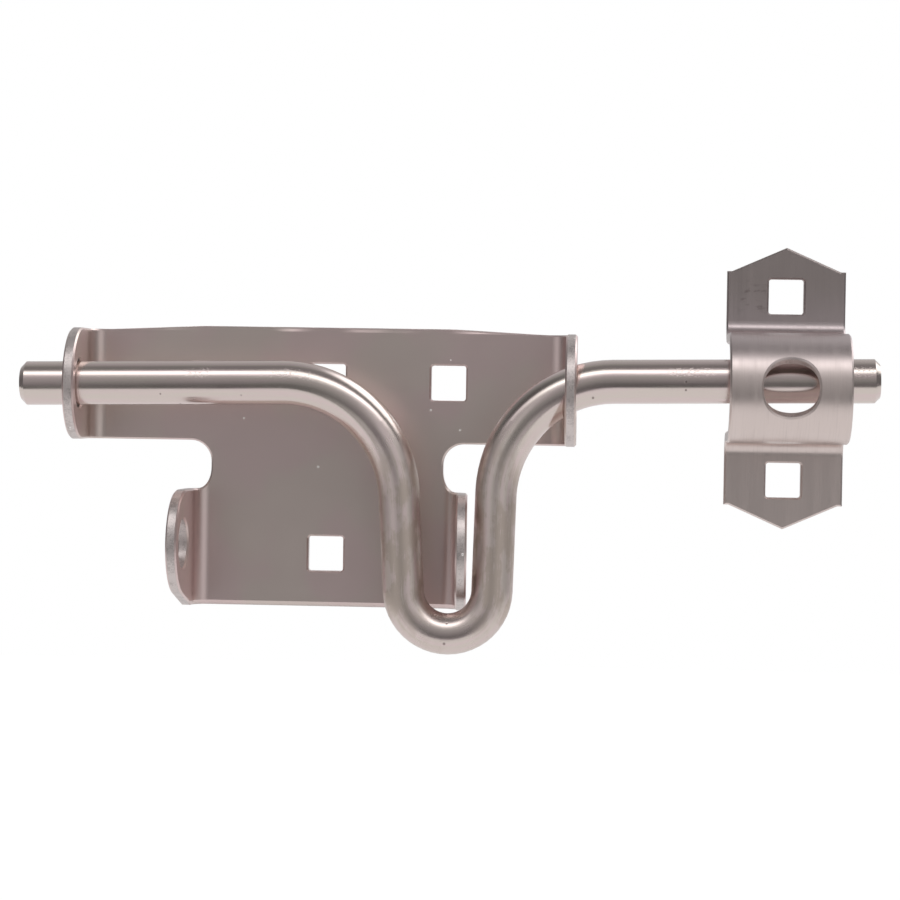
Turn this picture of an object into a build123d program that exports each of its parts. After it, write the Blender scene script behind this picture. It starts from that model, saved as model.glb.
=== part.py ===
from build123d import *
from math import cos, radians, sin, sqrt
import os

# A slide-action gate latch: a folded mounting plate, a bent slide bolt and a keeper strap.
# Seen as fixed on a gate: +X runs along the bolt to the keeper, +Z is up and the front faces -Y.
# The backs of the plate and of the keeper lie in the plane Y = 0, and the origin is the centre
# of the plate's back. All lengths are in millimetres.

# Stock
sheet = 3.2  # 1/8 in stainless sheet
rod_d = 12.7  # 1/2 in round bar
bend_thinning = 0.75  # the bar draws down by this much on its way through a shoulder bend
edge_break = 0.5  # the sheared edges are eased by this much

# Mounting plate, seen from the front
plate_height = 82.55
top_flat_half = 37.0  # the top edge is level this far to each side
arm_top_drop = 1.3  # and falls this much on its way out to each ear
blend_r = 40.0  # rounding where the top edge changes its slope
upper_ear_outer = 73.7  # centre of the plate to the outer face of an upper ear
ear_past_handle = 5.6  # from the middle of the handle to the outer face of the ear inside it
plate_bend_inner = 4.3  # inner radius of every fold of the plate

# Ears, seen from the side
bolt_depth = 22.2  # the plate's back to the bolt's axis
ear_nose = 11.1  # from there to the nose of an ear
lower_nose_share = 0.451  # radius of a lower ear's nose for the ear's height
lower_ear_lean = 2.6  # the lower ears stand open by this many degrees
ear_root = 1.5  # an ear keeps its full height this far past its fold
ear_corner_r = 6.0  # under a lower ear, where it starts to narrow

# Relief notch between an upper and a lower ear
notch_height = 14.3
notch_rise = 0.25  # the notch's centre line above the middle of the plate
notch_corner_r = 6.2
notch_past_fold = 0.1  # a notch ends this far past the start of the lower fold

# Round holes in the ears
bearing_clearance = 1.6  # left ear, a running fit on the straight bar
shoulder_clearance = 0.35  # right ear, all round the start of the bend
padlock_d = 14.3

# Square holes for carriage bolts
plate_square = 10.3
keeper_square = 10.2
square_corner_r = 0.8
upper_square_spread = 35.7
upper_square_drop = 15.9  # centre of the upper holes below the top edge
lower_square_rise = 15.6  # centre of the lower hole above the bottom edge

# Slide bolt, measured from the middle of its handle
bolt_half_length = 123.8
tip_chamfer = 1.5
shoulder_r = 33.9  # centre line of a shoulder bend
full_turn = 52.0  # degrees of a shoulder bend through which the bar keeps its full thickness
leg_lean = 2.4  # degrees by which the legs close towards the handle
handle_inner_r = 6.85  # inside of the U
handle_below_plate = 1.75  # the U's inner edge below the plate's bottom edge, bolt level
bend_entry = 12.2  # the right shoulder bend starts this far past the right upper ear
bolt_tilt = 1.0  # degrees: shot home, the bend lifts the bolt in the right ear

# Keeper
keeper_width = 34.6
keeper_height = 82.55
keeper_clearance = 6.35  # round the bar inside the arch
keeper_setback = 1.6  # the arch's centre lies this far behind the bolt's axis
keeper_bend_inner = 3.8
point_height = 7.0  # a foot's point above its shoulders
point_step = 1.4  # level part of each shoulder
keeper_square_spread = 26.9
sight_hole_d = 15.9  # punched before the arch is bent
bolt_through = 25.8  # the middle of the keeper to the tip of the bolt
keeper_rise = 1.6  # the keeper's middle above the bolt's axis when level

# Heights on the plate
plate_top = plate_height / 2
notch_top = notch_rise + notch_height / 2
notch_low = notch_rise - notch_height / 2
upper_ear_top = plate_top - arm_top_drop
bolt_height = (upper_ear_top + notch_top) / 2
upper_square_height = plate_top - upper_square_drop
lower_square_height = lower_square_rise - plate_top

# Ears
bend_end = sheet + plate_bend_inner
ear_reach = bolt_depth + ear_nose
upper_nose_r = (upper_ear_top - notch_top) / 2
lower_nose_r = lower_nose_share * (notch_low + plate_top)
padlock_height = notch_low - lower_nose_r
bearing_x = upper_ear_outer - sheet / 2

# The bolt's bends
bent_rod_d = rod_d - bend_thinning
handle_r = handle_inner_r + bent_rod_d / 2
handle_drop = bolt_height + plate_top + handle_below_plate + bent_rod_d / 2
bend_turn = 90 - leg_lean
shoulder_fall = shoulder_r * (1 - cos(radians(bend_turn)))
leg_fall = handle_drop - shoulder_fall - handle_r * (1 - sin(radians(leg_lean)))
leg_length = leg_fall / cos(radians(leg_lean))
shoulder_start = (handle_r * cos(radians(leg_lean)) + leg_length * sin(radians(leg_lean))
                  + shoulder_r * sin(radians(bend_turn)))

# Where the bolt lies in its ears: the left bearing to the middle of the handle, then the handle
handle_reach = 2 * bearing_x + bend_entry - shoulder_start
handle_x = handle_reach - bearing_x
lower_ear_outer = handle_x + ear_past_handle
notch_end = lower_ear_outer - bend_end - notch_past_fold

# The right ear's hole has to pass the bar where it is already bending
bar_lift = 2 * bearing_x * sin(radians(bolt_tilt))
bar_below = shoulder_r - bar_lift - sqrt((shoulder_r - rod_d / 2) ** 2 - (bend_entry + sheet / 2) ** 2)
bar_above = bar_lift - shoulder_r + sqrt((shoulder_r + rod_d / 2) ** 2 - (bend_entry - sheet / 2) ** 2)
bearing_d = rod_d + bearing_clearance
shoulder_bearing_d = 2 * (max(bar_below, bar_above) + shoulder_clearance)

# Keeper, placed round the bolt
keeper_opening = rod_d + 2 * keeper_clearance
keeper_depth = bolt_depth - keeper_setback + keeper_opening / 2 + sheet
keeper_x = handle_x + bolt_half_length - bolt_through


def folded_band(ear_outer, lean, low, high):
    """A band of the plate between two heights, with an ear folded forward at each end."""
    back = Line((0, -sheet / 2), (ear_outer - bend_end, -sheet / 2))
    bend = JernArc(back @ 1, back % 1, plate_bend_inner + sheet / 2, lean - 90)
    ear = Line(bend @ 1, (bend @ 1) + (bend % 1) * ear_reach)
    half = extrude(trace([back, bend, ear], sheet), amount=high - low, dir=(0, 0, 1))
    return Pos(0, 0, low) * (half + mirror(half, Plane.YZ))


def level_ear(nose_r, hole_height):
    """An ear with level edges and a round nose, seen from the side."""
    nose_centre = ear_reach - nose_r
    root = Pos(-nose_centre / 2, hole_height) * Rectangle(nose_centre, 2 * nose_r)
    return root + Pos(-nose_centre, hole_height) * Circle(nose_r)


def narrowing_web(nose_r, hole_height, low):
    """The part of an ear under its hole, which narrows from its root to the round nose."""
    root_end = bend_end + ear_root
    root = Pos(-root_end / 2, low + sheet / 2) * Rectangle(root_end, sheet)
    nose = Pos(nose_r - ear_reach, hole_height) * Circle(nose_r)
    web = make_hull((root + nose).edges())
    return fillet(web.vertices().sort_by_distance((-root_end, low))[0], ear_corner_r)


def trimmed(band, ear):
    """Square ears cut to an outline seen from the side."""
    root = Pos(-bend_end / 2, 0) * Rectangle(bend_end, 2 * plate_height)
    return band & extrude(Plane.YZ * (root + ear), amount=2 * upper_ear_outer, both=True)


def through_ears(diameter, height, side):
    """A drill along X through the ears on one side of the plate."""
    drill = Cylinder(diameter / 2, upper_ear_outer, align=(Align.CENTER, Align.CENTER, Align.MIN))
    return Pos(0, -bolt_depth, height) * Rot(0, 90 * side, 0) * drill


def square_punch(size, x, z):
    """A square punch with eased corners, through a sheet on the plane Y = 0, which rolls the front rim."""
    hole = Pos(x, z) * RectangleRounded(size, size, square_corner_r)
    rim_size = size + 2 * edge_break
    rim = Pos(x, z) * RectangleRounded(rim_size, rim_size, square_corner_r + edge_break)
    rim_tool = loft([Plane.XZ.offset(sheet) * rim, Plane.XZ.offset(sheet - edge_break) * hole], ruled=True)
    return extrude(Plane.XZ * hole, amount=2 * sheet, both=True) + rim_tool


def upper_band():
    """The wide band of the plate with its two bolt ears."""
    slope_end = upper_ear_outer - bend_end - sheet / 2
    outline = Polygon(
        (-upper_ear_outer, notch_rise), (upper_ear_outer, notch_rise),
        (upper_ear_outer, upper_ear_top), (slope_end, upper_ear_top), (top_flat_half, plate_top),
        (-top_flat_half, plate_top), (-slope_end, upper_ear_top), (-upper_ear_outer, upper_ear_top),
        align=None)
    slope_corners = outline.vertices().filter_by_position(Axis.X, -slope_end, slope_end)
    band = folded_band(upper_ear_outer, 0, notch_rise, plate_top)
    band = trimmed(band, level_ear(upper_nose_r, bolt_height))
    band &= extrude(Plane.XZ * fillet(slope_corners, blend_r), amount=2 * ear_reach)
    band -= through_ears(bearing_d, bolt_height, -1)
    band -= through_ears(shoulder_bearing_d, bolt_height, 1)
    return band


def lower_band():
    """The narrow band of the plate with its two padlock ears."""
    ear = level_ear(lower_nose_r, padlock_height) + narrowing_web(lower_nose_r, padlock_height, -plate_top)
    band = trimmed(folded_band(lower_ear_outer, lower_ear_lean, -plate_top, notch_rise), ear)
    band -= through_ears(padlock_d, padlock_height, -1)
    band -= through_ears(padlock_d, padlock_height, 1)
    return band


def notch_tool():
    """Both relief notches, drawn narrower below, where the lower fold turns away with them."""
    fold_start = lower_ear_outer - bend_end
    floor_start = fold_start + 0.9 * plate_bend_inner
    far_x = 2 * upper_ear_outer
    roof = Line((far_x, notch_top), (notch_end + notch_corner_r, notch_top))
    roof_corner = JernArc(roof @ 1, roof % 1, notch_corner_r, 90)
    end = Line(roof_corner @ 1, (notch_end, notch_low + notch_corner_r))
    floor_corner = EllipticalCenterArc((floor_start, notch_low + notch_corner_r), floor_start - notch_end,
                                       notch_corner_r, start_angle=180, arc_size=90)
    floor = Line(floor_corner @ 1, (far_x, notch_low))
    outline = make_face([roof, roof_corner, end, floor_corner, floor, Line(floor @ 1, roof @ 0)])
    tool = extrude(Plane.XZ * outline, amount=2 * ear_reach)
    return tool + mirror(tool, Plane.YZ)


def ease_sheared_edges(piece):
    """Break every edge that the punches and shears leave, but no corner that runs through the sheet."""
    sides = {}
    for face in piece.faces():
        for edge in face.edges():
            sides.setdefault(edge, []).append(face)
    sheared = []
    for edge, faces in sides.items():
        normals = [face.normal_at(edge @ 0.5) for face in faces]
        sharp = len(normals) == 2 and normals[0].get_angle(normals[1]) > 15
        if sharp and abs(edge.length - sheet) > 0.01:
            sheared.append(edge)
    return chamfer(sheared, edge_break)


def make_mounting_plate():
    plate = ease_sheared_edges(upper_band() + lower_band() - notch_tool())
    for x in (-upper_square_spread, 0, upper_square_spread):
        plate -= square_punch(plate_square, x, upper_square_height)
    return plate - square_punch(plate_square, 0, lower_square_height)


def bolt_arm():
    """The right tip, shoulder and leg of the bolt in its own frame: axis along X, handle down."""
    bar = Circle(rod_d / 2)
    straight = extrude(Plane.YZ.offset(shoulder_start) * bar, amount=bolt_half_length - shoulder_start)
    straight = chamfer(straight.edges().group_by(Axis.X)[-1], tip_chamfer)

    shoulder_axis = Axis((shoulder_start, 0, -shoulder_r), (0, -1, 0))
    shoulder = revolve(Plane.YZ.offset(shoulder_start) * bar, shoulder_axis, full_turn)
    full_arc = JernArc((shoulder_start, 0), (-1, 0), shoulder_r, full_turn)
    drawn_arc = Plane.XZ * JernArc(full_arc @ 1, full_arc % 1, shoulder_r, bend_turn - full_turn)
    thick_end = Plane(drawn_arc @ 0, z_dir=drawn_arc % 0) * bar
    thin_end = Plane(drawn_arc @ 1, z_dir=drawn_arc % 1) * Circle(bent_rod_d / 2)
    drawn = sweep([thick_end, thin_end], drawn_arc, multisection=True)
    return straight + shoulder + drawn + extrude(thin_end, amount=leg_length)


def make_slide_bolt():
    arm = bolt_arm()
    handle_axis = Axis((0, 0, handle_r - handle_drop), (0, -1, 0))
    lowest = Plane.YZ * Pos(0, -handle_drop) * Circle(bent_rod_d / 2)
    handle = revolve(lowest.rotate(handle_axis, -bend_turn), handle_axis, 2 * bend_turn)
    bolt = arm + mirror(arm, Plane.YZ) + handle
    left_bearing = Location((-bearing_x, -bolt_depth, bolt_height), (0, -bolt_tilt, 0))
    return left_bearing * Pos(handle_reach, 0, 0) * bolt


def keeper_strap():
    """The strap seen from the side, folded from its upper foot over the arch to its lower foot."""
    arch_r = keeper_opening / 2 + sheet / 2
    bend_r = keeper_bend_inner + sheet / 2
    side_start = -sheet / 2 - bend_r
    arch_start = -keeper_depth + keeper_opening / 2 + sheet
    foot = Line((-sheet / 2, keeper_height / 2), (-sheet / 2, arch_r + bend_r))
    bend = JernArc(foot @ 1, foot % 1, bend_r, -90)
    side = Line((side_start, arch_r), (arch_start, arch_r))
    arch = JernArc(side @ 1, side % 1, arch_r, 90)
    half = trace([foot, bend, side, arch], sheet)
    return half + mirror(half, Plane.XZ)


def sight_hole_tool():
    """A round hole punched in the flat strap opens out as the arch is bent round it."""
    arch_r = keeper_opening / 2 + sheet / 2
    arch_centre = keeper_depth - keeper_opening / 2 - sheet
    half_angle = sight_hole_d / 2 / arch_r
    ends = []
    for radius in (arch_r / 2, 3 * arch_r / 2):
        plane = Plane((0, -arch_centre - radius, 0), x_dir=(1, 0, 0), z_dir=(0, -1, 0))
        ends.append(plane * Ellipse(sight_hole_d / 2, radius * sin(half_angle) / cos(half_angle)))
    return loft(ends, ruled=True)


def make_keeper():
    half_width = keeper_width / 2
    apex = keeper_height / 2
    shoulder = apex - point_height
    step = half_width - point_step
    outline = Polygon(
        (half_width, -shoulder), (half_width, shoulder), (step, shoulder), (0, apex),
        (-step, shoulder), (-half_width, shoulder), (-half_width, -shoulder),
        (-step, -shoulder), (0, -apex), (step, -shoulder),
        align=None)
    strap = extrude(Plane.YZ * keeper_strap(), amount=half_width, both=True)
    strap &= extrude(Plane.XZ * outline, amount=keeper_depth)
    strap = ease_sheared_edges(strap - sight_hole_tool())
    strap -= square_punch(keeper_square, 0, keeper_square_spread)
    strap -= square_punch(keeper_square, 0, -keeper_square_spread)
    return Pos(keeper_x, 0, bolt_height + keeper_rise) * strap


os.makedirs("parts", exist_ok=True)
export_step(make_mounting_plate(), "parts/mounting_plate.step")
export_step(make_slide_bolt(), "parts/slide_bolt.step")
export_step(make_keeper(), "parts/keeper.step")
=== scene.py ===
import math

import bpy
from mathutils import Matrix, Vector


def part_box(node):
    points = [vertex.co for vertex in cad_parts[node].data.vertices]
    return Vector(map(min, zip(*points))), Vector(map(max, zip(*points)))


# The slide-action gate latch in stainless steel: a mill-finish plate, a drawn bar and a brushed
# keeper, in front of white. Sizes are in millimetres along the latch's own axes, unless a comment
# says otherwise.
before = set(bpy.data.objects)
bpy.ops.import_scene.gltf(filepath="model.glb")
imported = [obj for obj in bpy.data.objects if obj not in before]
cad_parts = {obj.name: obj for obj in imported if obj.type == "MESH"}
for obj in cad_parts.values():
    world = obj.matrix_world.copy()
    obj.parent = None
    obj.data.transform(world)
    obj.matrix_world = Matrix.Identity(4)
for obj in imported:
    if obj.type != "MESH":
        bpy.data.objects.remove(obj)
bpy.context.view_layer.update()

MM = 0.001

# The sheet and its folds
SHEET = 3.2
PLATE_BEND_INNER = 4.3
PLATE_BEND_END = SHEET + PLATE_BEND_INNER
PLATE_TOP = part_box("mounting_plate")[1].z / MM
UPPER_EAR_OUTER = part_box("mounting_plate")[1].x / MM
LOWER_EAR_LEAN = math.radians(2.6)
KEEPER_BEND_INNER = 3.8
KEEPER_OPENING = 25.4
KEEPER_MIDDLE = (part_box("keeper")[0].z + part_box("keeper")[1].z) / 2 / MM
KEEPER_FRONT = -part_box("keeper")[0].y / MM

# A height inside the relief notches, between the upper ears and the lower ears
BETWEEN_EARS = 2.0

# From the middle of the sheet's thickness: where the sheared face ends, and where the skin begins
SHEAR_TO = 1.02
SKIN_FROM = 1.22

# The slide bolt's centre line, seen from the middle of its handle with the bar level
BAR_D = 12.7
BENT_BAR_D = 11.95
SHOULDER_R = 33.9
LEG_LEAN = math.radians(2.4)
SHOULDER_TURN = math.pi / 2 - LEG_LEAN
HANDLE_R = 12.825
HANDLE_BELOW_PLATE = 1.75
BOLT_HEIGHT = 23.6875
HANDLE_DROP = BOLT_HEIGHT + PLATE_TOP + HANDLE_BELOW_PLATE + BENT_BAR_D / 2
SHOULDER_FALL = SHOULDER_R * (1 - math.cos(SHOULDER_TURN))
LEG_FALL = HANDLE_DROP - SHOULDER_FALL - HANDLE_R * (1 - math.sin(LEG_LEAN))
LEG_LENGTH = LEG_FALL / math.cos(LEG_LEAN)
LEG_TOP_X = HANDLE_R * math.cos(LEG_LEAN) + LEG_LENGTH * math.sin(LEG_LEAN)
SHOULDER_START = LEG_TOP_X + SHOULDER_R * math.sin(SHOULDER_TURN)

# Where the bolt lies in its ears, and the middle of its handle
BOLT_DEPTH = 22.2
BOLT_TILT = math.radians(1.0)
BEND_ENTRY = 12.2
BEARING_X = UPPER_EAR_OUTER - SHEET / 2
HANDLE_REACH = 2 * BEARING_X + BEND_ENTRY - SHOULDER_START
EAR_PAST_HANDLE = 5.6
LOWER_EAR_OUTER = HANDLE_REACH - BEARING_X + EAR_PAST_HANDLE

# The camera, found by laying the latch over the photograph, with its clipping in metres
CAMERA_PLACE = Vector((83.1, -819.1, 21.3)) * MM
CAMERA_YAW = math.radians(3.273)
CAMERA_PITCH = math.radians(1.096)
CAMERA_ROLL = math.radians(0.903)
FOCAL_PIXELS = 2767.6
IMAGE_PIXELS = 900
SENSOR_WIDTH = 36.0
CLIP_NEAR = 0.05
CLIP_FAR = 20.0


# The share of a round mark's radius that is fully marked
MARK_CORE = 0.4


class Wire:
    """A number, colour or vector on its way through a material, usable in plain arithmetic."""

    def __init__(self, graph, socket):
        self.graph = graph
        self.socket = socket

    def maths(self, operation, *values):
        return self.graph.add("ShaderNodeMath", {"operation": operation}, dict(enumerate(values)))

    def __add__(self, other):
        return self.maths("ADD", self, other)

    def __radd__(self, other):
        return self.maths("ADD", other, self)

    def __sub__(self, other):
        return self.maths("SUBTRACT", self, other)

    def __rsub__(self, other):
        return self.maths("SUBTRACT", other, self)

    def __mul__(self, other):
        return self.maths("MULTIPLY", self, other)

    def __rmul__(self, other):
        return self.maths("MULTIPLY", other, self)

    def __truediv__(self, other):
        return self.maths("DIVIDE", self, other)

    def __pow__(self, other):
        return self.maths("POWER", self, other)

    def __neg__(self):
        return self.maths("MULTIPLY", self, -1.0)

    def __abs__(self):
        return self.maths("ABSOLUTE", self)

    def __gt__(self, other):
        return self.maths("GREATER_THAN", self, other)

    def __lt__(self, other):
        return self.maths("LESS_THAN", self, other)

    def at_most(self, other):
        return self.maths("MINIMUM", self, other)

    def at_least(self, other):
        return self.maths("MAXIMUM", self, other)

    def angle_to(self, other):
        return self.maths("ARCTAN2", self, other)


class Graph:
    """The nodes of one material, or of the world."""

    def __init__(self, tree):
        self.tree = tree
        tree.nodes.clear()

    def node(self, kind, settings=None, inputs=None):
        """A new node, with its settings first and then the values or links of its sockets."""
        node = self.tree.nodes.new(kind)
        for name, value in (settings or {}).items():
            if name == "stops":
                self.set_stops(node.color_ramp, value)
            else:
                setattr(node, name, value)
        for key, value in (inputs or {}).items():
            if isinstance(value, Wire):
                self.tree.links.new(value.socket, node.inputs[key])
            else:
                node.inputs[key].default_value = value
        return node

    def add(self, kind, settings=None, inputs=None, output=0):
        return Wire(self, self.node(kind, settings, inputs).outputs[output])

    @staticmethod
    def set_stops(ramp, stops):
        while len(ramp.elements) < len(stops):
            ramp.elements.new(1.0)
        for element, (position, colour) in zip(ramp.elements, stops):
            element.position = position
            element.color = colour

    def split(self, vector):
        node = self.node("ShaderNodeSeparateXYZ", None, {0: vector})
        return [Wire(self, socket) for socket in node.outputs]

    def join(self, x, y, z):
        return self.add("ShaderNodeCombineXYZ", None, {0: x, 1: y, 2: z})

    def place(self):
        """The point on the piece, in millimetres along the latch's own axes."""
        metres = self.add("ShaderNodeTexCoord", None, None, "Object")
        scaling = {0: metres, "Scale": 1 / MM}
        return self.split(self.add("ShaderNodeVectorMath", {"operation": "SCALE"}, scaling))

    def rays(self, *kinds):
        """For each kind of ray, 1 where this point is seen by a ray of that kind."""
        node = self.node("ShaderNodeLightPath")
        return [Wire(self, node.outputs[f"Is {kind} Ray"]) for kind in kinds]

    def ramp(self, value, low, high, start=0.0, end=1.0):
        """A smooth step from start to end as the value goes from low to high."""
        return self.add("ShaderNodeMapRange", {"interpolation_type": "SMOOTHSTEP"},
                        {0: value, 1: low, 2: high, 3: start, 4: end})

    def bell(self, value, middle, half_width):
        """1 at the middle, falling smoothly to 0 at half_width to either side."""
        return self.ramp(abs(value - middle), 0.0, half_width, 1.0, 0.0)

    def spot(self, distance, radius):
        """1 near the middle of a round mark, falling smoothly to 0 at its radius."""
        return self.ramp(distance, MARK_CORE * radius, radius, 1.0, 0.0)

    def noise(self, point, grain, detail=2.0, roughness=0.5):
        """Noise from 0 to 1, with the size of its grain along each of the point's three axes."""
        scaled = self.join(*(value / size for value, size in zip(point, grain)))
        return self.add("ShaderNodeTexNoise", None,
                        {"Vector": scaled, "Scale": 1.0, "Detail": detail, "Roughness": roughness})

    def dots(self, point, spacing, radius, share):
        """Small round marks, about one in each cube of this spacing, kept for a share of the cubes."""
        inputs = {"Vector": self.join(*(value / spacing for value in point)), "Scale": 1.0}
        near = self.add("ShaderNodeTexVoronoi", None, inputs, "Distance")
        pick = self.split(self.add("ShaderNodeTexVoronoi", None, inputs, "Color"))[0]
        return self.spot(near, radius / spacing) * (pick < share)

    def marks(self, a, b, spots):
        """Round marks at known places in the plane of a and b: centre and radius of each."""
        return sum(self.spot(length(a - mark_a, b - mark_b), radius)
                   for mark_a, mark_b, radius in spots).at_most(1.0)

    def blend(self, share, first, second):
        return self.add("ShaderNodeMix", {"data_type": "RGBA"}, {0: share, 6: first, 7: second}, 2)

    def relief(self, height):
        """The normal that a height in millimetres gives."""
        return self.add("ShaderNodeBump", None, {"Strength": 1.0, "Distance": MM, "Height": height})

    def output(self, shader, kind="ShaderNodeOutputMaterial"):
        self.node(kind, None, {0: shader})


def choose(test, value_if, value_else):
    return test * value_if + (1.0 - test) * value_else


def length(a, b):
    return (a * a + b * b) ** 0.5


def around(middle, *waves):
    """A value that each noise moves to either side of its middle, over the range given with it."""
    return sum(((noise - 0.5) * spread for noise, spread in waves), middle)


def new_material(name):
    material = bpy.data.materials.new(name)
    material.use_nodes = True
    return material, Graph(material.node_tree)


def metal(graph, colour, roughness, normal):
    return graph.add("ShaderNodeBsdfPrincipled", None, {
        "Base Color": colour, "Metallic": 1.0, "Roughness": roughness, "Normal": normal})


def plate_depth(x, y, z):
    """Distance from the middle of the folded plate's thickness."""
    mid_r = PLATE_BEND_INNER + SHEET / 2
    upper = z > BETWEEN_EARS
    fold_x = choose(upper, UPPER_EAR_OUTER - PLATE_BEND_END, LOWER_EAR_OUTER - PLATE_BEND_END)
    out = abs(x) - fold_x
    forward = -y
    lean = choose(upper, 0.0, math.sin(LOWER_EAR_LEAN))
    flat = abs(forward - SHEET / 2)
    bend = abs(length(out, PLATE_BEND_END - forward) - mid_r)
    ear = abs(out - mid_r - (forward - PLATE_BEND_END) * lean)
    folded = choose(forward > PLATE_BEND_END, ear, bend)
    return choose(out > 0.0, folded, flat)


def keeper_depth(y, z):
    """Distance from the middle of the keeper strap's thickness."""
    arch_r = KEEPER_OPENING / 2 + SHEET / 2
    bend_r = KEEPER_BEND_INNER + SHEET / 2
    arch_start = KEEPER_FRONT - KEEPER_OPENING / 2 - SHEET
    side = abs(z - KEEPER_MIDDLE)
    forward = -y
    foot = abs(forward - SHEET / 2)
    bend = abs(length(forward - SHEET / 2 - bend_r, side - arch_r - bend_r) - bend_r)
    wall = abs(side - arch_r)
    arch = abs(length(forward - arch_start, side) - arch_r)
    near = choose(side < arch_r + bend_r, bend, foot)
    far = choose(forward > arch_start, arch, wall)
    return choose(forward > SHEET / 2 + bend_r, far, near)


# Each finish below has its colours, its roughness, the size of its grain along X, Y and Z, and
# the depths of its relief. LEVELS are those of a noise between which one look gives way to the
# next. Sheared edges are torn and bright over a dull break.
SHEARED = (0.68, 0.61, 0.595, 1.0)
SHEARED_DARK = (0.36, 0.32, 0.31, 1.0)
BRIGHT_NICK = (0.95, 0.92, 0.90, 1.0)
SHEARED_ROUGH = 0.42
TEAR_ROUGH = 0.35
TEAR_GRAIN = (0.45, 0.45, 0.45)
BREAK_GRAIN = (3.0, 3.0, 3.0)
TEAR_DEPTH = 0.03
BREAK_DEPTH = 0.05
BREAK_LEVELS = (0.40, 0.52)
BREAK_SHARE = 0.5
TEAR_WEIGHT = 0.6
BURR_SPACING = 2.2
BURR_R = 0.45
BURR_SHARE = 0.22
BURR_HEIGHT = 0.12


def sheared_metal(graph, point):
    """Colour, roughness and height of a sheared edge."""
    tear = graph.noise(point, TEAR_GRAIN, detail=3.0, roughness=0.6)
    patch = graph.noise(point, BREAK_GRAIN)
    mixed = tear * TEAR_WEIGHT + patch * (1 - TEAR_WEIGHT)
    dark = graph.ramp(mixed, *BREAK_LEVELS, 1.0, 0.0) * BREAK_SHARE
    burr = graph.dots(point, BURR_SPACING, BURR_R, BURR_SHARE)
    colour = graph.blend(burr, graph.blend(dark, SHEARED, SHEARED_DARK), BRIGHT_NICK)
    height = tear * TEAR_DEPTH + patch * BREAK_DEPTH + burr * BURR_HEIGHT
    return colour, around(SHEARED_ROUGH, (tear, TEAR_ROUGH)), height


def sheet_finish(graph, point, edge, skin, skin_rough, skin_height):
    """One of the sheet's skins, and the shear on its cut edges."""
    shear, shear_rough, shear_height = sheared_metal(graph, point)
    colour = graph.blend(edge, skin, shear)
    roughness = choose(edge, shear_rough, skin_rough)
    height = choose(edge, shear_height, skin_height)
    return metal(graph, colour, roughness, graph.relief(height))


# Mill finish on the plate, with a faint pink and green drift
MILL_PINK = (0.72, 0.58, 0.565, 1.0)
MILL_GREEN = (0.70, 0.60, 0.56, 1.0)
MILL_ROUGH = 0.37
CLOUD_ROUGH = 0.05
NICK_ROUGH = 0.2
MILL_DRIFT = (28.0, 28.0, 28.0)
DRIFT_LEVELS = (0.42, 0.58)
MILL_CLOUD = (7.0, 7.0, 7.0)
MILL_GRAIN = (0.5, 0.5, 0.5)
CLOUD_DEPTH = 0.012
GRAIN_DEPTH = 0.0035

# Small nicks all over, and the large ones by their places along and up the plate and their radii
NICK_SPACING = 9.0
NICK_R = 0.34
NICK_SHARE = 0.22
NICK_DEPTH = 0.05
PLATE_NICKS = ((-2.6, 0.0, 0.5), (39.3, 11.6, 0.45), (30.6, 17.4, 0.45), (-24.9, 14.1, 0.4))

# The plate's skin rolls back over this width at its top edge, in places, and at its bottom edge
ROLL_WIDTH = 1.3
ROLL_PATCHES = (26.0, 26.0, 60.0)
ROLL_LEVELS = (0.44, 0.62)
TOP_ROLL_SLOPE = 0.37
LOW_ROLL_SLOPE = 0.40


def plate_steel():
    material, graph = new_material("plate_steel")
    point = graph.place()
    x, y, z = point
    edge = 1.0 - graph.ramp(plate_depth(x, y, z), SHEAR_TO, SKIN_FROM)
    drift = graph.noise(point, MILL_DRIFT)
    cloud = graph.noise(point, MILL_CLOUD, detail=3.0)
    grain = graph.noise(point, MILL_GRAIN)
    scattered = graph.dots(point, NICK_SPACING, NICK_R, NICK_SHARE)
    nick = scattered.at_least(graph.marks(x, z, PLATE_NICKS))
    rolled = graph.ramp(graph.noise(point, ROLL_PATCHES), *ROLL_LEVELS)
    top_roll = (z - (PLATE_TOP - ROLL_WIDTH)).at_least(0.0) * rolled * TOP_ROLL_SLOPE
    low_roll = (ROLL_WIDTH - PLATE_TOP - z).at_least(0.0) * LOW_ROLL_SLOPE
    skin = graph.blend(graph.ramp(drift, *DRIFT_LEVELS), MILL_PINK, MILL_GREEN)
    skin = graph.blend(nick, skin, BRIGHT_NICK)
    rough = around(MILL_ROUGH, (cloud, CLOUD_ROUGH)) + nick * NICK_ROUGH
    height = grain * GRAIN_DEPTH + cloud * CLOUD_DEPTH - nick * NICK_DEPTH - top_roll - low_roll
    graph.output(sheet_finish(graph, point, edge, skin, rough, height))
    return material


# Brushed finish on the keeper, with lines that run along the strap, and painted shade that turns its upper
# half cool and then dark
BRUSHED = (0.72, 0.62, 0.59, 1.0)
BRUSHED_COOL_SHADE = (0.54, 0.465, 0.47, 1.0)
BRUSHED_DARK_LINES_AND_SHADE = (0.42, 0.36, 0.345, 1.0)
BRUSHED_ROUGH = 0.37
LINE_ROUGH = 0.24
WAVE_ROUGH = 0.14
BRUSH_LINES = (0.45, 16.0, 16.0)
BRUSH_WAVES = (2.6, 40.0, 40.0)
BRUSH_LINE_DEPTH = 0.012
BRUSH_WAVE_DEPTH = 0.014
DARK_LINE_LEVELS = (0.50, 0.75)
DARK_LINE_SHARE = 0.16

# Painted shade above the keeper's middle: where it turns cool, and then dark, and how dark
SHADE_COOL_FROM = -2.0
SHADE_COOL_TO = 18.0
SHADE_DARK_FROM = 14.0
SHADE_DARK_TO = 34.0
UPPER_SHADE_SHARE = 0.85

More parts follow.
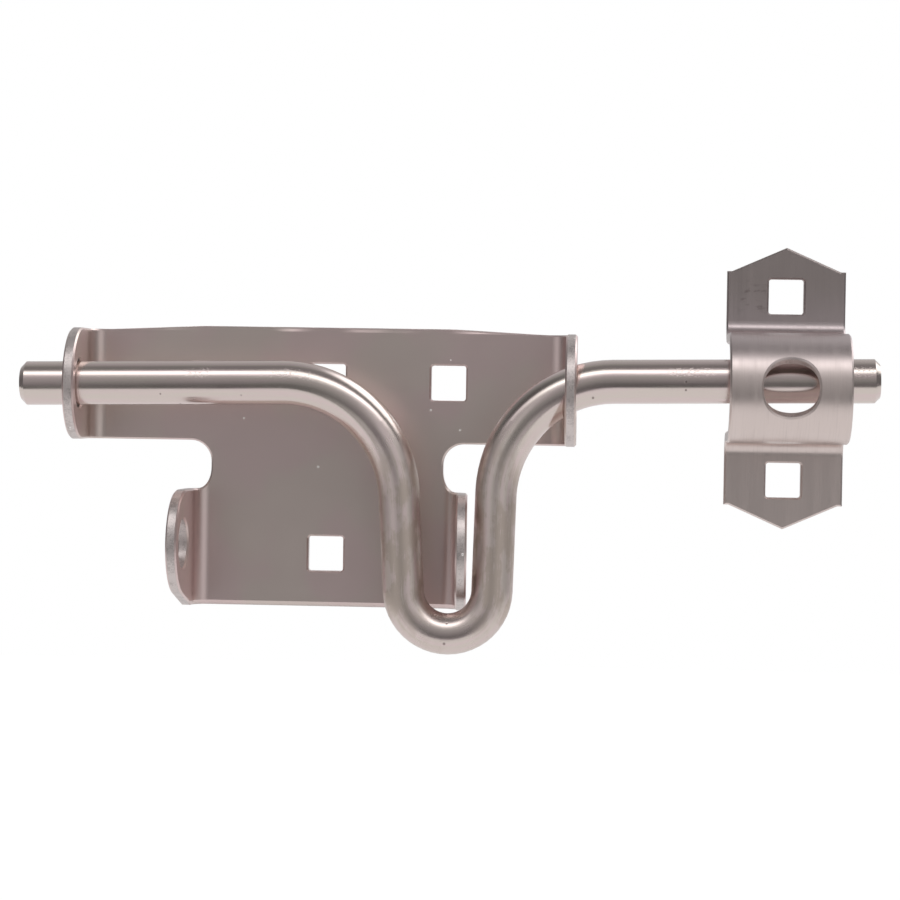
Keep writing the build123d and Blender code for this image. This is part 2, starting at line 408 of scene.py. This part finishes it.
# The smudge on the keeper's upper foot, above the keeper's middle and along the latch
GRIME = (0.22, 0.17, 0.16, 1.0)
SMUDGE_RISE = 26.5
SMUDGE_HALF_HEIGHT = 7.0
SMUDGE_X = 125.0
SMUDGE_HALF_WIDTH = 8.0
SMUDGE_GRAIN = (3.5, 1.6, 1.6)
SMUDGE_LEVELS = (0.50, 0.66)
SMUDGE_SHARE = 0.75


def keeper_steel():
    material, graph = new_material("keeper_steel")
    point = graph.place()
    x, y, z = point
    rise = z - KEEPER_MIDDLE
    edge = 1.0 - graph.ramp(keeper_depth(y, z), SHEAR_TO, SKIN_FROM)
    lines = graph.noise(point, BRUSH_LINES, detail=3.0, roughness=0.6)
    waves = graph.noise(point, BRUSH_WAVES)
    smudge = graph.noise(point, SMUDGE_GRAIN, detail=3.0, roughness=0.6)
    stained = graph.bell(rise, SMUDGE_RISE, SMUDGE_HALF_HEIGHT) * graph.bell(x, SMUDGE_X, SMUDGE_HALF_WIDTH)
    grime = stained * graph.ramp(smudge, *SMUDGE_LEVELS) * SMUDGE_SHARE
    # Painted shade: cooler and then darker up the keeper's upper half; the same dark tone also draws the
    # brush lines
    skin = graph.blend(graph.ramp(rise, SHADE_COOL_FROM, SHADE_COOL_TO), BRUSHED, BRUSHED_COOL_SHADE)
    skin = graph.blend(graph.ramp(rise, SHADE_DARK_FROM, SHADE_DARK_TO) * UPPER_SHADE_SHARE, skin, BRUSHED_DARK_LINES_AND_SHADE)
    skin = graph.blend(graph.ramp(lines, *DARK_LINE_LEVELS) * DARK_LINE_SHARE, skin, BRUSHED_DARK_LINES_AND_SHADE)
    skin = graph.blend(grime, skin, GRIME)
    rough = around(BRUSHED_ROUGH, (lines, LINE_ROUGH), (waves, WAVE_ROUGH))
    height = lines * BRUSH_LINE_DEPTH + waves * BRUSH_WAVE_DEPTH
    graph.output(sheet_finish(graph, point, edge, skin, rough, height))
    return material


def bolt_frame(x, z):
    """Along the bar from the middle of the handle, and up from its centre line, as it lies tilted."""
    across = x + BEARING_X
    up = z - BOLT_HEIGHT
    along = across * math.cos(BOLT_TILT) + up * math.sin(BOLT_TILT) - HANDLE_REACH
    return along, up * math.cos(BOLT_TILT) - across * math.sin(BOLT_TILT)


# The legs and the handle hang at least this far below the bar's centre line
BELOW_BAR = 5.0


def along_the_bar(x, y, z):
    """Distance along the bar from the middle of the handle, distance along its bends from the
    start of a shoulder, and the angle round it from its front."""
    along, up = bolt_frame(x, z)
    side = abs(along)
    bend = (SHOULDER_START - side).angle_to(up + SHOULDER_R)
    bend_out = length(side - SHOULDER_START, up + SHOULDER_R) - SHOULDER_R
    inward = LEG_TOP_X - side
    down = -SHOULDER_FALL - up
    down_leg = inward * math.sin(LEG_LEAN) + down * math.cos(LEG_LEAN)
    leg_out = inward * math.cos(LEG_LEAN) - down * math.sin(LEG_LEAN)
    handle_up = up + HANDLE_DROP - HANDLE_R
    handle_in = HANDLE_R - length(side, handle_up)
    handle_turn = side.angle_to(-handle_up)

    in_bend = side < SHOULDER_START
    in_leg = (down_leg > 0.0) * in_bend * (up < -BELOW_BAR)
    in_handle = (down_leg > LEG_LENGTH) * in_leg
    out = choose(in_bend, bend_out, up)
    out = choose(in_leg, leg_out, out)
    out = choose(in_handle, handle_in, out)
    leg_top_run = SHOULDER_R * SHOULDER_TURN
    handle_run = leg_top_run + LEG_LENGTH + HANDLE_R * SHOULDER_TURN
    run = choose(in_bend, bend * SHOULDER_R, SHOULDER_START - side)
    run = choose(in_leg, down_leg + leg_top_run, run)
    run = choose(in_handle, handle_run - handle_turn * HANDLE_R, run)
    return along, run, out.angle_to(-y - BOLT_DEPTH)


# Drawn finish on the bar, with its grain round the bar, along its bends and from end to end
DRAWN_PINK = (0.70, 0.585, 0.57, 1.0)
DRAWN_GREEN = (0.68, 0.60, 0.555, 1.0)
DRAWN_ROUGH = 0.19
DRAWN_CLOUD_ROUGH = 0.08
DRAWN_LINE_ROUGH = 0.10
DRAWN_LINES = (0.30, 14.0, 60.0)
DRAWN_BANDS = (1.7, 45.0, 60.0)
BAND_LEVELS = (0.35, 0.65)
DRAWN_CLOUD = (8.0, 8.0, 8.0)
DRAWN_LINE_DEPTH = 0.004
DRAWN_BAND_DEPTH = 0.014

# Along the bends from the start of a shoulder, the skin turns dull and then comes back in part
DRAWN_DULL = (0.57, 0.485, 0.43, 1.0)
DULL_FROM = 24.0
DULL_TO = 54.0
BACK_FROM = 80.0
BACK_TO = 96.0
HANDLE_DULL = 0.30
DULL_ROUGH = 0.25
BLOTCH_ROUGH = 0.25
BLOTCH_GRAIN = (5.0, 5.0, 9.0)
BLOTCH_LEVELS = (0.46, 0.56)
BLOTCH_WEIGHT = 0.7
BAND_LOSS = 0.5

# Where the bar is scuffed, from the middle of its handle, with half the length of each scuff.
# Faint ones lie between them. All show in the highlight, by the angle round the bar from its front.
SCUFFS = ((-72.0, 7.0), (-44.0, 14.0), (70.0, 12.0), (84.0, 6.0), (117.0, 13.0))
FAINT_LEVELS = (0.62, 0.72)
FAINT_SHARE = 0.5
SCUFF_TURN = 0.45
SCUFF_HALF_TURN = 0.48
SCUFF_GRAIN = (0.8, 0.4, 0.4)
SCUFF_LEVELS = (0.54, 0.62)
SCUFF_ROUGH = 0.18
SCUFF_DEPTH = 0.011

# Small pits all over, and the dark marks on the bar's front by their places along and up the
# latch and their radii
PIT_SPACING = 6.0
PIT_R = 0.42
PIT_SHARE = 0.30
PIT_DEPTH = 0.04
PIT_DARKNESS = 0.8
BAR_MARKS = ((78.5, 21.7, 0.5), (104.9, 26.6, 0.45), (104.9, 24.4, 0.4), (37.0, -49.5, 0.55),
             (-46.0, 20.9, 0.35))


def rod_steel():
    material, graph = new_material("rod_steel")
    point = graph.place()
    x, y, z = point
    along, run, turn = along_the_bar(x, y, z)
    on_bar = (turn * (BAR_D / 2), run, along)
    lines = graph.noise(on_bar, DRAWN_LINES, detail=3.0, roughness=0.6)
    bands = graph.noise(on_bar, DRAWN_BANDS)
    cloud = graph.noise(point, DRAWN_CLOUD, detail=3.0)
    chatter = graph.noise(point, SCUFF_GRAIN, detail=3.0, roughness=0.6)
    blotch = graph.noise(point, BLOTCH_GRAIN, detail=4.0, roughness=0.6)

    rubbed = sum((graph.bell(along, middle, half) for middle, half in SCUFFS),
                 graph.ramp(cloud, *FAINT_LEVELS) * FAINT_SHARE)
    in_highlight = graph.bell(turn, SCUFF_TURN, SCUFF_HALF_TURN)
    scuff = rubbed.at_most(1.0) * in_highlight * graph.ramp(chatter, *SCUFF_LEVELS)
    in_front = y < -BOLT_DEPTH
    pit = graph.dots(point, PIT_SPACING, PIT_R, PIT_SHARE)
    pit = pit.at_least(graph.marks(x, z, BAR_MARKS) * in_front)
    dull = graph.ramp(run, DULL_FROM, DULL_TO) * graph.ramp(run, BACK_FROM, BACK_TO, 1.0, HANDLE_DULL)
    mottled = graph.ramp(blotch * BLOTCH_WEIGHT + lines * (1 - BLOTCH_WEIGHT), *BLOTCH_LEVELS)

    colour = graph.blend(graph.ramp(bands, *BAND_LEVELS), DRAWN_PINK, DRAWN_GREEN)
    colour = graph.blend(pit * PIT_DARKNESS, colour, GRIME)
    colour = graph.blend(dull * mottled, colour, DRAWN_DULL)
    drawn_rough = around(DRAWN_ROUGH, (cloud, DRAWN_CLOUD_ROUGH), (lines, DRAWN_LINE_ROUGH))
    roughness = drawn_rough + dull * around(DULL_ROUGH, (blotch, BLOTCH_ROUGH)) + scuff * SCUFF_ROUGH
    band_height = (1.0 - dull * BAND_LOSS) * bands * DRAWN_BAND_DEPTH
    height = lines * DRAWN_LINE_DEPTH + band_height - scuff * SCUFF_DEPTH - pit * PIT_DEPTH
    graph.output(metal(graph, colour, roughness, graph.relief(height)))
    return material


def add_object(name, data, place=(0.0, 0.0, 0.0)):
    thing = bpy.data.objects.new(name, data)
    thing.location = place
    bpy.context.scene.collection.objects.link(thing)
    return thing


# The floor, in metres, and how much of its white each kind of ray sees
FLOOR_DROP = -0.35
FLOOR_FRONT = -0.57
FLOOR_BACK = 3.0
FLOOR_HALF = 2.0
FLOOR_PALE = (0.9, 0.9, 0.9, 1.0)
WHITE = (1.0, 1.0, 1.0, 1.0)
FLOOR_WHITE_LEVEL = 1.1
CAMERA_SHARE = 0.85
MIRROR_SHARE = 0.45
GLASS_SHARE = 0.85


def floor_white():
    """White to the camera, to mirrors and to glass, with the shadow kept by what isn't white."""
    material, graph = new_material("floor_white")
    camera, mirror, glass = graph.rays("Camera", "Glossy", "Transmission")
    share = (camera * CAMERA_SHARE).at_least(mirror * MIRROR_SHARE).at_least(glass * GLASS_SHARE)
    diffuse = graph.add("ShaderNodeBsdfDiffuse", None, {"Color": FLOOR_PALE})
    white = graph.add("ShaderNodeEmission", None, {"Color": WHITE, "Strength": FLOOR_WHITE_LEVEL})
    graph.output(graph.add("ShaderNodeMixShader", None, {0: share, 1: diffuse, 2: white}))
    return material


def make_floor():
    mesh = bpy.data.meshes.new("floor")
    mesh.from_pydata([(-FLOOR_HALF, FLOOR_FRONT, 0), (FLOOR_HALF, FLOOR_FRONT, 0),
                      (FLOOR_HALF, FLOOR_BACK, 0), (-FLOOR_HALF, FLOOR_BACK, 0)], [], [(0, 1, 2, 3)])
    mesh.materials.append(floor_white())
    floor = add_object("floor", mesh, (0.0, 0.0, FLOOR_DROP))


# The studio over and under the latch: degrees up from straight in front, and the light from there
STUDIO = ((-180, 0.90), (-150, 0.58), (-60, 0.68), (-33, 0.68), (-30, 0.12), (-12, 0.14), (0, 0.25),
          (14, 0.34), (28, 0.44), (40, 0.72), (46, 1.7), (50, 2.5), (56, 2.6), (60, 1.7), (66, 0.48),
          (74, 0.22), (90, 0.22), (110, 0.42), (135, 0.55), (160, 0.58), (180, 0.90))

# The same for what faces left or right, in degrees round the latch from its front to its right
SIDES = ((-180, 0.90), (-155, 0.58), (-130, 0.34), (-104, 0.14), (-76, 0.14), (-62, 0.26), (-46, 0.62),
         (-24, 0.66), (-15, 0.45), (0, 0.30), (15, 0.45), (24, 0.66), (46, 0.70), (62, 0.36), (78, 0.16),
         (102, 0.16), (120, 0.5), (150, 0.62), (180, 0.90))
STUDIO_PEAK = 3.0

# The room in shares of a unit direction. Off this middle the light of the sides takes over, and
# only near the level line.
SIDES_MIDDLE = -0.05
SIDES_FROM = 0.10
SIDES_TO = 0.35
LEVEL_FROM = 0.10
LEVEL_TO = 0.80

# Off this middle the light of the front falls off
FRONT_MIDDLE = 0.12
FRONT_FROM = 0.40
FRONT_TO = 0.80
FRONT_END = 0.45

# A soft light stands high on the right, behind the latch: the way to it, and the cosines at which
# its rim and its bright middle lie off that way
HIGH_LIGHT_WAY = (0.60, 0.43, 0.67)
HIGH_LIGHT_RIM = 0.86
HIGH_LIGHT_MIDDLE = 0.96
HIGH_LIGHT_LEVEL = 1.7


def light_round(graph, angle, levels):
    """The light from an angle in radians, out of pairs of degrees and levels."""
    stops = [((degrees + 180) / 360, (level / STUDIO_PEAK,) * 3 + (1.0,)) for degrees, level in levels]
    position = angle / (2 * math.pi) + 0.5
    return graph.split(graph.add("ShaderNodeValToRGB", {"stops": stops}, {0: position}))[0] * STUDIO_PEAK


def make_world():
    """A plain studio: white behind the latch, a long soft light above it and a dim room in front."""
    world = bpy.data.worlds.new("studio")
    world.use_nodes = True
    bpy.context.scene.world = world
    graph = Graph(world.node_tree)
    way = graph.split(graph.add("ShaderNodeTexCoord", None, None, "Generated"))
    x, y, z = way
    front = light_round(graph, z.angle_to(-y), STUDIO)
    front = front * graph.ramp(abs(x - FRONT_MIDDLE), FRONT_FROM, FRONT_TO, 1.0, FRONT_END)
    sides = light_round(graph, x.angle_to(-y), SIDES)
    near_level = graph.ramp(abs(z), LEVEL_FROM, LEVEL_TO, 1.0, 0.0)
    to_side = graph.ramp(abs(x - SIDES_MIDDLE), SIDES_FROM, SIDES_TO) * near_level
    to_high_light = sum(share * part for share, part in zip(way, HIGH_LIGHT_WAY))
    high_light = graph.ramp(to_high_light, HIGH_LIGHT_RIM, HIGH_LIGHT_MIDDLE) * HIGH_LIGHT_LEVEL
    room = choose(to_side, sides, front) + high_light
    camera, glass = graph.rays("Camera", "Transmission")
    level = choose(camera.at_least(glass), 1.0, room)
    graph.output(graph.add("ShaderNodeBackground", None, {0: WHITE, 1: level}), "ShaderNodeOutputWorld")


def make_camera():
    data = bpy.data.cameras.new("camera")
    data.sensor_width = SENSOR_WIDTH
    data.lens = FOCAL_PIXELS / IMAGE_PIXELS * SENSOR_WIDTH
    data.clip_start = CLIP_NEAR
    data.clip_end = CLIP_FAR
    camera = add_object("camera", data, CAMERA_PLACE)
    turn = (Matrix.Rotation(CAMERA_YAW, 4, "Z") @ Matrix.Rotation(math.radians(90) - CAMERA_PITCH, 4, "X")
            @ Matrix.Rotation(CAMERA_ROLL, 4, "Z"))
    camera.rotation_euler = turn.to_euler()
    bpy.context.scene.camera = camera


def dress(node, material):
    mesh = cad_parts[node].data
    mesh.materials.clear()
    mesh.materials.append(material)


dress("mounting_plate", plate_steel())
dress("keeper", keeper_steel())
dress("slide_bolt", rod_steel())
make_floor()
make_world()
make_camera()

bpy.context.scene.view_settings.view_transform = "Standard"
